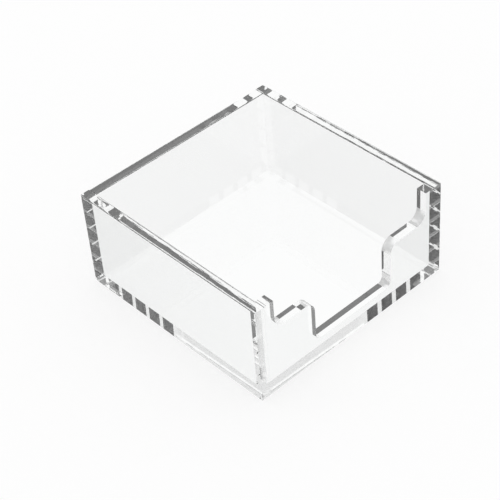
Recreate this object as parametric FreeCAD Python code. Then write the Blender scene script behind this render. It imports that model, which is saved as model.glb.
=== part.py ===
"""Clear acrylic memo tray: four walls and a floor of clear sheet, solvent-bonded edge to face.

Frame: millimetres, +Z up, origin at the middle of the footprint on the surface the tray stands on.
+X is the right-hand wall, -Y is the front wall with the stepped finger notch.
"""
import FreeCAD, Part
import math
import os

from FreeCAD import Vector

# Driving dimensions of the tray
TRAY_WIDTH = 100.0  # outside, across the front, along X
TRAY_DEPTH = 100.0  # outside, front to back, along Y
TRAY_HEIGHT = 45.0  # standing surface to rim
SHEET = 4.6  # thickness of the cast sheet that the four walls are cut from
FLOOR_SHEET = 4.1  # thickness of the sheet that the floor is cut from

# Stepped notch in the front wall: a wide shallow step with a finger slot in its middle
POST_WIDTH = 4.4  # each corner post that is left standing between a side wall and the wide step
STEP_DROP = 14.0  # rim down to the two shoulders
SLOT_WIDTH = 41.4  # finger slot, centred in the step
SLOT_DROP = 34.5  # rim down to the bottom of the slot
POST_ROOT_RADIUS = 5.0  # hollow corner where a post meets its shoulder
SHOULDER_RADIUS = 5.0  # rounded nose where a shoulder falls into the slot
SLOT_ROOT_RADIUS = 2.5  # hollow corner at the bottom of the slot

# Edge finish
OUTER_BEVEL = 0.45  # scraped bevel round the outside of the rim and round the foot
FINE_BREAK = 0.15  # flame-polished break on the upright corners, the inside of the rim and the notch

# Where the panels meet: inside faces of the walls, measured from the middle of the tray
INSIDE_X = TRAY_WIDTH / 2 - SHEET
INSIDE_Y = TRAY_DEPTH / 2 - SHEET
# Wide step: the front wall's full inside width less the two corner posts
STEP_WIDTH = 2 * (INSIDE_X - POST_WIDTH)


def box_between(low, high):
    """Solid block between two opposite corners."""
    size = high - low
    return Part.makeBox(size.x, size.y, size.z, low)


def tray_envelope():
    """Outside of the whole tray as one block with a bevelled rim and foot and fine upright corners."""
    x, y = TRAY_WIDTH / 2, TRAY_DEPTH / 2
    block = box_between(Vector(-x, -y, 0), Vector(x, y, TRAY_HEIGHT))
    level_edges = [edge for edge in block.Edges if edge.BoundBox.ZLength < TRAY_HEIGHT / 2]
    block = block.makeChamfer(OUTER_BEVEL, level_edges)
    upright_edges = [edge for edge in block.Edges if edge.BoundBox.ZLength > TRAY_HEIGHT / 2]
    return block.makeChamfer(FINE_BREAK, upright_edges)


def rim_relief():
    """Plug that widens upwards and breaks the inside edge of the rim all the way round."""
    x, y = INSIDE_X + FINE_BREAK, INSIDE_Y + FINE_BREAK
    foot = TRAY_HEIGHT - FINE_BREAK
    plug = box_between(Vector(-x, -y, foot), Vector(x, y, TRAY_HEIGHT + SHEET))
    foot_edges = [edge for edge in plug.Edges if edge.BoundBox.ZMax < TRAY_HEIGHT]
    return plug.makeChamfer(FINE_BREAK, foot_edges)


def dress(blank):
    """Gives a squared panel the tray's broken outside edges and broken inner rim."""
    return blank.common(tray_envelope()).cut(rim_relief())


def base_panel():
    """Floor of the tray, let in between the four walls and flush with their lower edges."""
    return box_between(Vector(-INSIDE_X, -INSIDE_Y, 0), Vector(INSIDE_X, INSIDE_Y, FLOOR_SHEET))


def side_panel(side):
    """Full-depth wall: side is -1 for the left wall and +1 for the right."""
    near, far = sorted([side * INSIDE_X, side * TRAY_WIDTH / 2])
    y = TRAY_DEPTH / 2
    return dress(box_between(Vector(near, -y, 0), Vector(far, y, TRAY_HEIGHT)))


def cross_panel_blank(side):
    """Squared front (side -1) or back (side +1) wall, fitted between the two side walls."""
    near, far = sorted([side * INSIDE_Y, side * TRAY_DEPTH / 2])
    return box_between(Vector(-INSIDE_X, near, 0), Vector(INSIDE_X, far, TRAY_HEIGHT))


def back_panel():
    """Plain wall at the back."""
    return dress(cross_panel_blank(+1))


def notch_corners():
    """Corners of the notch from the left post round to the right post, each with its radius."""
    shoulder_z, slot_z = TRAY_HEIGHT - STEP_DROP, TRAY_HEIGHT - SLOT_DROP
    right = [
        (SLOT_WIDTH / 2, slot_z, SLOT_ROOT_RADIUS),
        (SLOT_WIDTH / 2, shoulder_z, SHOULDER_RADIUS),
        (STEP_WIDTH / 2, shoulder_z, POST_ROOT_RADIUS),
    ]
    left = [(-x, z, radius) for x, z, radius in reversed(right)]
    return [(Vector(x, 0, z), radius) for x, z, radius in left + right]


def corner_arc(before, corner, after, radius):
    """Arc of the given radius, tangent to the two runs that meet at a corner."""
    back, onward = (before - corner).normalize(), (after - corner).normalize()
    half_angle = back.getAngle(onward) / 2
    setback = radius / math.tan(half_angle)
    bisector = (back + onward).normalize()
    middle = corner + bisector * (radius / math.sin(half_angle) - radius)
    return Part.Arc(corner + back * setback, middle, corner + onward * setback).toShape()


def notch_cutter():
    """Solid with the outline of the stepped notch, open above the rim and longer than the wall is thick."""
    above_rim = TRAY_HEIGHT + SHEET
    corners = notch_corners()
    first = Vector(-STEP_WIDTH / 2, 0, above_rim)
    last = Vector(STEP_WIDTH / 2, 0, above_rim)
    stops = [first] + [corner for corner, _ in corners] + [last]
    edges = []
    reached = first
    for index, (corner, radius) in enumerate(corners):
        arc = corner_arc(stops[index], corner, stops[index + 2], radius)
        start, end = arc.Vertexes[0].Point, arc.Vertexes[-1].Point
        edges += [Part.makeLine(reached, start), arc]
        reached = end
    edges += [Part.makeLine(reached, last), Part.makeLine(last, first)]
    cutter = Part.Face(Part.Wire(edges)).extrude(Vector(0, 3 * SHEET, 0))
    cutter.translate(Vector(0, -TRAY_DEPTH / 2 - SHEET, 0))
    return cutter


def runs_round_notch(edge):
    """True for an edge of the notch outline on either face of the front wall."""
    box = edge.BoundBox
    in_a_face = box.YLength < FINE_BREAK
    between_ends = max(abs(box.XMin), abs(box.XMax)) < INSIDE_X - FINE_BREAK
    off_the_foot = box.ZMin > FINE_BREAK
    return in_a_face and between_ends and off_the_foot


def front_panel():
    """Wall at the front, sawn to the stepped notch, with the sawn edge broken on both faces."""
    wall = cross_panel_blank(-1).cut(notch_cutter())
    sawn_edges = [edge for edge in wall.Edges if runs_round_notch(edge)]
    return dress(wall.makeChamfer(FINE_BREAK, sawn_edges))


def write(node, shape):
    """Checks that a panel is one sound solid and writes it as its own STEP file."""
    solids = shape.Solids
    if len(solids) != 1 or not solids[0].isValid():
        raise ValueError(f"{node} isn't one valid solid")
    solids[0].exportStep(os.path.join("parts", node + ".step"))
    print(f"{node:12s} {solids[0].Volume / 1000:.2f} cm3, {len(solids[0].Faces)} faces")


def main():
    os.makedirs("parts", exist_ok=True)
    write("base_panel", base_panel())
    write("left_panel", side_panel(-1))
    write("right_panel", side_panel(+1))
    write("back_panel", back_panel())
    write("front_panel", front_panel())


main()
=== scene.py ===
"""Clear acrylic memo tray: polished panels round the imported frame, on a pale table in soft light."""

import math

import bpy
import numpy as np
from mathutils import Matrix, Vector


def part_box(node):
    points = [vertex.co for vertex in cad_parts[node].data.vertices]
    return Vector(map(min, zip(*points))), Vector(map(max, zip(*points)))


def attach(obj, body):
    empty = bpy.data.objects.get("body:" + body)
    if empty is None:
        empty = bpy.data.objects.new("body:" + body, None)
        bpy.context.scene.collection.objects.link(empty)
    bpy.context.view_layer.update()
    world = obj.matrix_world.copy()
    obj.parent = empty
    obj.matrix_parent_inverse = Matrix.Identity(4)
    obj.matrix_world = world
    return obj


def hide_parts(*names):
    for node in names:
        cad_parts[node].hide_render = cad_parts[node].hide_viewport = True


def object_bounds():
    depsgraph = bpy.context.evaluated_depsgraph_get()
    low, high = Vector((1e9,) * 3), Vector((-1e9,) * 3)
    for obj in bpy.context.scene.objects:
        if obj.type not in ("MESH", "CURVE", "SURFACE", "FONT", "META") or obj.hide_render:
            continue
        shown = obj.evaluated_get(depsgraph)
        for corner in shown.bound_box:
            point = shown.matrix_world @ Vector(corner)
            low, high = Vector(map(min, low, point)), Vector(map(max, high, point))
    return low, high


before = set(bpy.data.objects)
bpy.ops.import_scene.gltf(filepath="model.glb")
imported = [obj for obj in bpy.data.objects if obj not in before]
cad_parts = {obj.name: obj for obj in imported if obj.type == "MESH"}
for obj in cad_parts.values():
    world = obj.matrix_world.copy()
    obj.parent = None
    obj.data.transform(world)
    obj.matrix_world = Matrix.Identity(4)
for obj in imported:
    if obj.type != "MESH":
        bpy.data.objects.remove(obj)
cad_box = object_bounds()

# Places in metres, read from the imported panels
INSIDE_X, INSIDE_Y, FLOOR_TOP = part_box("base_panel")[1]
HALF_WIDTH, HALF_DEPTH, RIM = cad_box[1]
SHEET = HALF_WIDTH - INSIDE_X

# Stepped notch in the front wall
SLOT_HALF = 0.0207  # half the width of the finger slot
STEP_HALF = INSIDE_X - 0.0044  # half the width of the step above it, between the corner posts
SLOT_Z = RIM - 0.0345
STEP_Z = RIM - 0.0140
SLOT_ROOT_RADIUS = 0.0025
SHOULDER_RADIUS = 0.005
POST_ROOT_RADIUS = 0.005

# Edges of the sheet after scraping and flame polishing
FOOT_BEVEL = 0.00045  # scraped bevel round the foot
CORNER_RADIUS = 0.0004  # rounding of the tray's upright corners
CROWN = 0.0005  # how far the rim falls away from its middle to the two faces
CROWN_POWER = 10  # the higher, the flatter the middle of the crown

# How finely the edges are cut into flats
RIM_STEPS = 33  # places across the crown
ROUND_STEPS = 11  # places round an upright corner
ARC_STEPS = 90  # flats round each arc of the notch
DEPTH_DIGITS = 7  # places across the edge that agree to this many digits are one
BEND_TOLERANCE = 1e-9  # a smaller change of slope isn't a bend
IN_LINE = 0.97  # cosine between two runs above which they count as one smooth run

# Finish of the acrylic
ACRYLIC_IOR = 1.49
ACRYLIC_TINT = (0.995, 1.0, 0.998, 1)
BOND_TOLERANCE = 0.000004  # a face this near the plane of a joint lies in it
LEVEL_PART = 0.5  # upright part of the normal above which a face is level
LEANING_PART = 0.05  # upright and sideways part of the normal above which a face leans
ARC_ROUGH = 0.2  # roughness of the saw cut in the notch's curves
ARC_FROST = 0.6  # how far that cut is from clear
END_ROUGH = 0.12  # roughness of the left wall's near end
STREAKS_ACROSS = 1100.0  # polishing streaks per metre across a rim
STREAKS_ALONG = 120.0  # and along it
STREAK_DETAIL = 2.0
STREAK_HEIGHT = 0.00003

# Table and room, as strengths where 1 is white
TABLE_GREY = 0.96  # colour of the matt table top
TABLE_GLOW = 0.75  # share of the table's own white in a straight view, the rest takes the tray's shadow
TABLE_LIT = 1.0
TABLE_PAINTED_DIM = 0.17  # painted dark reflection: the table's glow after several turns inside a sheet, an odd number of them mirrored
SKY_BRIGHT = 0.80
SKY_DIM = 0.0
TABLE_HALF = 2.5  # half the side of the table top
TABLE_DROP = 0.0001  # gap that keeps the foot's underside and the table top apart

HALF_WAY = 0.5  # between a mask's 0 and its 1

# Light Path counts turns in whole numbers, so these lie between two counts
ANY_TURN = 0.5
ONE_TURN = 1.5
THROUGH_A_SHEET = 2.5  # in at one face and out at the other, as the world counts turns

# Camera: where it looks, how far off it stands and how it is turned
VIEW_AZIMUTH = math.radians(-40.0768)
VIEW_ELEVATION = math.radians(41.0057)
VIEW_DISTANCE = 0.5972716
VIEW_TARGET = Vector((-0.0090106, -0.0017175, 0.020000))
VIEW_ROLL = math.radians(-5.0288)
LENS_MM = 107.977
SENSOR_MM = 36
BOUNCES = 64  # enough for light that runs along inside a sheet


# ---------------------------------------------------------------- node helpers


class Nodes:
    """Small helper round a node tree: makes nodes and joins their sockets."""

    def __init__(self, tree):
        self.tree = tree
        tree.nodes.clear()

    def add(self, kind, **settings):
        node = self.tree.nodes.new(kind)
        for name, value in settings.items():
            setattr(node, name, value)
        return node

    def plug(self, source, target):
        if isinstance(source, bpy.types.NodeSocket):
            self.tree.links.new(source, target)
        else:
            target.default_value = source

    def math(self, operation, *inputs):
        node = self.add("ShaderNodeMath", operation=operation)
        for socket, value in zip(node.inputs, inputs):
            self.plug(value, socket)
        return node.outputs[0]

    def both(self, first, second):
        """1 where both masks are 1."""
        return self.math("MULTIPLY", first, second)

    def either(self, first, second):
        """1 where one mask or the other is 1."""
        return self.math("MAXIMUM", first, second)

    def agree(self, first, second):
        """1 where two masks say the same."""
        return self.math("COMPARE", first, second, HALF_WAY)

    def size(self, value):
        """A value without its sign."""
        return self.math("ABSOLUTE", value)

    def split(self, vector):
        """The three parts of a vector."""
        node = self.add("ShaderNodeSeparateXYZ")
        self.plug(vector, node.inputs[0])
        return node.outputs[0], node.outputs[1], node.outputs[2]

    def mix(self, factor, first, second):
        node = self.add("ShaderNodeMix")
        self.plug(factor, node.inputs[0])
        self.plug(first, node.inputs[2])
        self.plug(second, node.inputs[3])
        return node.outputs[0]

    def mix_shader(self, factor, first, second):
        node = self.add("ShaderNodeMixShader")
        self.plug(factor, node.inputs[0])
        self.plug(first, node.inputs[1])
        self.plug(second, node.inputs[2])
        return node.outputs[0]


def new_material(name):
    material = bpy.data.materials.new(name)
    material.use_nodes = True
    return material, Nodes(material.node_tree)


# ---------------------------------------------------------------- the acrylic


def bonded_faces(n, place):
    """1 on faces where two panels are bonded.

    The side walls meet the floor below its top and the cross walls beyond the well's ends. The cross walls
    meet the floor between the side walls.
    """
    x, y, z = n.size(place[0]), n.size(place[1]), place[2]
    low = n.math("LESS_THAN", z, FLOOR_TOP + BOND_TOLERANCE)
    beyond_y = n.math("GREATER_THAN", y, INSIDE_Y - BOND_TOLERANCE)
    within_x = n.math("LESS_THAN", x, INSIDE_X + BOND_TOLERANCE)
    in_side_joint = n.math("COMPARE", x, INSIDE_X, BOND_TOLERANCE)
    in_cross_joint = n.math("COMPARE", y, INSIDE_Y, BOND_TOLERANCE)
    side_bond = n.both(in_side_joint, n.either(low, beyond_y))
    cross_bond = n.both(in_cross_joint, n.both(low, within_x))
    return n.either(side_bond, cross_bond)


def curved_cuts(n, place, facing):
    """1 on the hollow and rounded parts of the notch, whose faces lean along the front wall."""
    sideways = n.math("GREATER_THAN", n.size(facing[0]), LEANING_PART)
    upright = n.math("GREATER_THAN", n.size(facing[2]), LEANING_PART)
    within_x = n.math("LESS_THAN", n.size(place[0]), INSIDE_X + BOND_TOLERANCE)
    return n.both(n.both(sideways, upright), within_x)


def left_near_end(n, place):
    """1 on the near end of the left wall."""
    in_left_wall = n.math("LESS_THAN", place[0], -INSIDE_X)
    at_end = n.math("LESS_THAN", place[1], BOND_TOLERANCE - HALF_DEPTH)
    return n.both(in_left_wall, at_end)


def rim_streaks(n, place, facing):
    """Normal with fine streaks that run along each sawn rim."""
    level = n.math("GREATER_THAN", n.size(facing[2]), LEVEL_PART)
    sawn_rim = n.both(level, n.math("GREATER_THAN", place[2], RIM - CROWN))
    in_side_wall = n.math("GREATER_THAN", n.size(place[0]), INSIDE_X)
    across = n.mix(in_side_wall, place[1], place[0])
    along = n.mix(in_side_wall, place[0], place[1])
    stretched = n.add("ShaderNodeCombineXYZ")
    n.plug(n.math("MULTIPLY", across, STREAKS_ACROSS), stretched.inputs[0])
    n.plug(n.math("MULTIPLY", along, STREAKS_ALONG), stretched.inputs[1])
    streaks = n.add("ShaderNodeTexNoise")
    streaks.inputs["Scale"].default_value = 1.0
    streaks.inputs["Detail"].default_value = STREAK_DETAIL
    n.plug(stretched.outputs[0], streaks.inputs["Vector"])
    bump = n.add("ShaderNodeBump")
    bump.inputs["Distance"].default_value = STREAK_HEIGHT
    n.plug(sawn_rim, bump.inputs["Strength"])
    n.plug(streaks.outputs[0], bump.inputs["Height"])
    return bump.outputs[0]


def clear_acrylic():
    """Polished cast acrylic that lets light straight through where two panels are bonded."""
    material, n = new_material("clear_acrylic_sheet")
    place = n.split(n.add("ShaderNodeTexCoord").outputs["Object"])
    facing = n.split(n.add("ShaderNodeNewGeometry").outputs["True Normal"])
    cut = curved_cuts(n, place, facing)
    end = left_near_end(n, place)

    sheet = n.add("ShaderNodeBsdfPrincipled")
    sheet.inputs["Base Color"].default_value = ACRYLIC_TINT
    sheet.inputs["IOR"].default_value = ACRYLIC_IOR
    frost = n.math("MULTIPLY", cut, ARC_FROST)
    n.plug(n.math("SUBTRACT", 1.0, frost), sheet.inputs["Transmission Weight"])
    rough = n.math("ADD", n.math("MULTIPLY", cut, ARC_ROUGH), n.math("MULTIPLY", end, END_ROUGH))
    n.plug(rough, sheet.inputs["Roughness"])
    n.plug(rim_streaks(n, place, facing), sheet.inputs["Normal"])

    film = n.add("ShaderNodeBsdfTransparent")
    out = n.add("ShaderNodeOutputMaterial")
    n.plug(n.mix_shader(bonded_faces(n, place), sheet.outputs[0], film.outputs[0]), out.inputs["Surface"])
    return material


# ---------------------------------------------------------------- the walls


def edge_profiles():
    """Places across a sheet's edge, 0 on the inner face and 1 on the outer, with each profile's set-back.

    The crown is set back by crown (1 - sqrt(1 - |v|^p)), where v runs from -1 to +1 across the edge. The foot
    is flat up to a bevel at 45 degrees along its outer side. The corner is flat up to a quarter round of radius
    r there, r - sqrt(r^2 - d^2), where d is the distance past its start. The plain profile is flat all the way.
    """
    across_crown = (np.sin(np.linspace(-0.5, 0.5, RIM_STEPS) * np.pi) + 1) / 2
    across_round = 1 - CORNER_RADIUS / SHEET * (1 - np.sin(np.linspace(0, 0.5, ROUND_STEPS) * np.pi))
    places = np.concatenate([across_crown, across_round, [1 - FOOT_BEVEL / SHEET]])
    depth = np.unique(np.round(places, DEPTH_DIGITS))
    v = 2 * depth - 1
    crown = CROWN * (1 - np.sqrt(1 - np.abs(v) ** CROWN_POWER))
    foot = np.maximum(0, depth * SHEET - (SHEET - FOOT_BEVEL))
    past = np.maximum(0, depth * SHEET - (SHEET - CORNER_RADIUS))
    corner = CORNER_RADIUS - np.sqrt(np.maximum(0, CORNER_RADIUS ** 2 - past ** 2))
    return depth, {"crown": crown, "foot": foot, "corner": corner, "plain": np.zeros(len(depth))}


def offset_corners(outline, moves):
    """Corners of a closed anticlockwise outline after each run moves inwards, one ring for each row of moves.

    With n the inward normals of the two runs at a corner and a, b their moves, the corner moves by
    ((a - c b) n1 + (b - c a) n2) / (1 - c^2), where c = n1 . n2. Where the runs are nearly in line, it
    moves by a (n1 + n2) / (1 + c).
    """
    onward = np.roll(outline, -1, axis=0) - outline
    onward /= np.linalg.norm(onward, axis=1)[:, None]
    after = np.column_stack([-onward[:, 1], onward[:, 0]])
    before = np.roll(after, 1, axis=0)
    c = np.sum(after * before, axis=1)
    gentle = c > IN_LINE
    spread = np.where(gentle, 1.0, 1 - c ** 2)
    of_after, of_before = moves, np.roll(moves, 1, axis=1)
    along_before = ((of_before - c * of_after) / spread)[..., None] * before
    along_after = ((of_after - c * of_before) / spread)[..., None] * after
    in_line = (of_after / (1 + c))[..., None] * (before + after)
    return outline + np.where(gentle[:, None], in_line, along_before + along_after)


def bent_rings(depth, moves):
    """Keeps the two faces and the depths at which some run's profile bends, so square edges get no rings."""
    slope = np.diff(moves, axis=0) / np.diff(depth)[:, None]
    bends = np.any(np.abs(np.diff(slope, axis=0)) > BEND_TOLERANCE, axis=1)
    kept = np.concatenate([[True], bends, [True]])
    return depth[kept], moves[kept]


def sheet_piece(name, outline, kinds, place, material, node):
    """Closed sheet: the outline carried through the thickness, each run set back at each depth by its profile.

    Each ring is joined to the next by a band of four-sided faces, and the first and last ring are the faces.
    """
    depth, profiles = edge_profiles()
    depth, moves = bent_rings(depth, np.column_stack([profiles[kind] for kind in kinds]))
    rings = offset_corners(outline, moves)
    points = np.concatenate([place(ring, across) for ring, across in zip(rings, depth)])
    count = len(outline)
    corner = np.arange(count)
    start = np.arange(len(depth) - 1)[:, None] * count
    here, onward = start + corner, start + (corner + 1) % count
    bands = np.stack([here, onward, onward + count, here + count], axis=-1).reshape(-1, 4)
    inner_face, outer_face = corner[::-1], (len(depth) - 1) * count + corner
    faces = bands.tolist() + [inner_face.tolist(), outer_face.tolist()]

    mesh = bpy.data.meshes.new(name)
    mesh.from_pydata(points.tolist(), [], faces)
    mesh.polygons.foreach_set("use_smooth", [False] * len(faces))
    mesh.materials.append(material)
    piece = bpy.data.objects.new(name, mesh)
    bpy.context.scene.collection.objects.link(piece)
    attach(piece, "root")
    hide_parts(node)
    return piece


def plain_outline(half_length):
    """Rectangle of a plain wall, anticlockwise from the low left corner."""
    return np.array([[-half_length, 0], [half_length, 0], [half_length, RIM], [-half_length, RIM]], dtype=float)


def notched_outline(half_length):
    """Front wall: along the foot, up the right end, then down and up through the notch to the left end.

    Each rounded corner is a quarter circle, centre - r (onward cos t + back sin t), with t from 0 to a right
    angle, where back and onward point from the corner along the runs before and after it.
    """
    corners = [
        (STEP_HALF, RIM, 0),
        (STEP_HALF, STEP_Z, POST_ROOT_RADIUS),
        (SLOT_HALF, STEP_Z, SHOULDER_RADIUS),
        (SLOT_HALF, SLOT_Z, SLOT_ROOT_RADIUS),
        (-SLOT_HALF, SLOT_Z, SLOT_ROOT_RADIUS),
        (-SLOT_HALF, STEP_Z, SHOULDER_RADIUS),
        (-STEP_HALF, STEP_Z, POST_ROOT_RADIUS),
        (-STEP_HALF, RIM, 0),
    ]
    points = [np.array([[-half_length, 0], [half_length, 0], [half_length, RIM]], dtype=float)]
    places = np.array([corner[:2] for corner in corners])
    turn = np.linspace(0, math.pi / 2, ARC_STEPS + 1)[:, None]
    for index, (_, _, radius) in enumerate(corners):
        if radius == 0:
            points.append(places[index:index + 1])
            continue
        back = places[index - 1] - places[index]
        onward = places[index + 1] - places[index]
        back, onward = back / np.linalg.norm(back), onward / np.linalg.norm(onward)
        centre = places[index] + radius * (back + onward)
        points.append(centre - radius * (onward * np.cos(turn) + back * np.sin(turn)))
    points.append(np.array([[-half_length, RIM]], dtype=float))
    return np.concatenate(points)


def wall(side, axis, outline, kinds, name, node, material):
    """Places an outline drawn in (length, height) as a wall square to an axis, outer face outwards.

    The length runs so that the outline is anticlockwise as seen from outside the tray.
    """
    half = HALF_WIDTH if axis == 0 else HALF_DEPTH
    turn = side if axis == 0 else -side

    def place(ring, across):
        points = np.zeros((len(ring), 3))
        points[:, axis] = side * (half - SHEET * (1 - across))
        points[:, 1 - axis] = turn * ring[:, 0]
        points[:, 2] = ring[:, 1]
        return points

    return sheet_piece(name, outline, kinds, place, material, node)


def side_walls(material):
    """Full-depth walls. Their runs are the foot, one end, the rim and the other end."""
    outline = plain_outline(HALF_DEPTH)
    wall(-1, 0, outline, ["plain", "plain", "crown", "corner"], "left_wall", "left_panel", material)
    wall(+1, 0, outline, ["foot", "plain", "crown", "corner"], "right_wall", "right_panel", material)


def cross_walls(material):
    """Back wall and notched front wall, between the side walls."""
    kinds = ["foot", "plain", "crown", "plain"]
    wall(+1, 1, plain_outline(INSIDE_X), kinds, "back_wall", "back_panel", material)
    outline = notched_outline(INSIDE_X)
    wall(-1, 1, outline, ["plain"] * len(outline), "front_wall", "front_panel", material)


def clear_floor(material):
    """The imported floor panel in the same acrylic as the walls."""
    panel = bpy.data.objects["base_panel"]
    panel.data.materials.clear()
    panel.data.materials.append(material)


# ---------------------------------------------------------------- the stage


def odd_mirrors(n, path, extra=0):
    """1 where the ray has been mirrored an odd number of times, extra being what the count is ahead by.

    A sheet turns a ray once on the way in and once on the way out. Those turns come in pairs, so the count
    of all turns is odd just when the count of mirrorings is. Diffuse bounces don't count.
    """
    turns = n.math("SUBTRACT", path.outputs["Ray Depth"], path.outputs["Diffuse Depth"])
    return n.math("MODULO", n.math("ADD", turns, extra), 2.0)


def pale_table():
    """Pale matt table, white when seen straight, through the acrylic or in its first mirroring.

    After further turns it is dim where the ray has been mirrored an odd number of times. That dimming is
    painted shade in its glow, which paints the dark bands along the acrylic's edges.
    """
    material, n = new_material("pale_table")
    path = n.add("ShaderNodeLightPath")
    further = n.math("GREATER_THAN", path.outputs["Ray Depth"], ONE_TURN)
    glow = n.add("ShaderNodeEmission")
    # painted shade: in mirrorings seen through the acrylic, the glow drops to the dim strength
    n.plug(n.mix(n.both(odd_mirrors(n, path), further), TABLE_LIT, TABLE_PAINTED_DIM), glow.inputs["Strength"])
    matt = n.add("ShaderNodeBsdfDiffuse")
    matt.inputs["Color"].default_value = (TABLE_GREY, TABLE_GREY, TABLE_GREY, 1)
    in_acrylic = n.either(path.outputs["Is Glossy Ray"], path.outputs["Is Transmission Ray"])
    straight = n.math("MULTIPLY", path.outputs["Is Camera Ray"], TABLE_GLOW)
    out = n.add("ShaderNodeOutputMaterial")
    share = n.math("MAXIMUM", in_acrylic, straight)
    n.plug(n.mix_shader(share, matt.outputs[0], glow.outputs[0]), out.inputs["Surface"])
    return material


def studio_light():
    """Even white light from all round on anything matt.

    What comes by way of the acrylic is bright where it rises and was mirrored an odd number of times, or
    falls and was mirrored an even number of times, and is dark otherwise.
    """
    world = bpy.data.worlds.new("studio")
    bpy.context.scene.world = world
    world.use_nodes = True
    n = Nodes(world.node_tree)
    path = n.add("ShaderNodeLightPath")
    rising = n.math("GREATER_THAN", n.split(n.add("ShaderNodeTexCoord").outputs["Generated"])[2], 0.0)
    bright = n.agree(rising, odd_mirrors(n, path, extra=1))
    no_diffuse = n.math("LESS_THAN", path.outputs["Diffuse Depth"], ANY_TURN)
    through = n.math("GREATER_THAN", path.outputs["Ray Depth"], THROUGH_A_SHEET)
    by_acrylic = n.both(n.either(through, path.outputs["Is Glossy Ray"]), no_diffuse)
    sky = n.add("ShaderNodeBackground")
    sky.inputs["Color"].default_value = (1, 1, 1, 1)
    n.plug(n.mix(by_acrylic, 1.0, n.mix(bright, SKY_DIM, SKY_BRIGHT)), sky.inputs["Strength"])
    out = n.add("ShaderNodeOutputWorld")
    n.plug(sky.outputs[0], out.inputs["Surface"])


def table():
    """Square table top, centred under the tray."""
    ends = [(-1, -1), (1, -1), (1, 1), (-1, 1)]
    corners = [(TABLE_HALF * x, TABLE_HALF * y, -TABLE_DROP) for x, y in ends]
    mesh = bpy.data.meshes.new("table_top")
    mesh.from_pydata(corners, [], [[0, 1, 2, 3]])
    top = bpy.data.objects.new("table_top", mesh)
    bpy.context.scene.collection.objects.link(top)
    mesh.materials.append(pale_table())


def camera():
    """Camera on a long lens, looking down on the front left corner and rolled a little."""
    back = Vector((
        math.sin(VIEW_AZIMUTH) * math.cos(VIEW_ELEVATION),
        -math.cos(VIEW_AZIMUTH) * math.cos(VIEW_ELEVATION),
        math.sin(VIEW_ELEVATION),
    ))
    across = Vector((0, 0, 1)).cross(back).normalized()
    up = back.cross(across)
    right = across * math.cos(VIEW_ROLL) + up * math.sin(VIEW_ROLL)
    top = up * math.cos(VIEW_ROLL) - across * math.sin(VIEW_ROLL)
    turn = Matrix((right, top, back)).transposed().to_4x4()
    data = bpy.data.cameras.new("camera")
    data.lens, data.sensor_width = LENS_MM, SENSOR_MM
    view = bpy.data.objects.new("camera", data)
    view.matrix_world = Matrix.Translation(VIEW_TARGET + back * VIEW_DISTANCE) @ turn
    bpy.context.scene.collection.objects.link(view)
    bpy.context.scene.camera = view


def render_settings():
    scene = bpy.context.scene
    scene.view_settings.view_transform = "Standard"
    scene.cycles.max_bounces = BOUNCES
    scene.cycles.glossy_bounces = BOUNCES
    scene.cycles.transmission_bounces = BOUNCES
    scene.cycles.transparent_max_bounces = BOUNCES


camera()
table()
studio_light()
acrylic = clear_acrylic()
clear_floor(acrylic)
side_walls(acrylic)
cross_walls(acrylic)
render_settings()
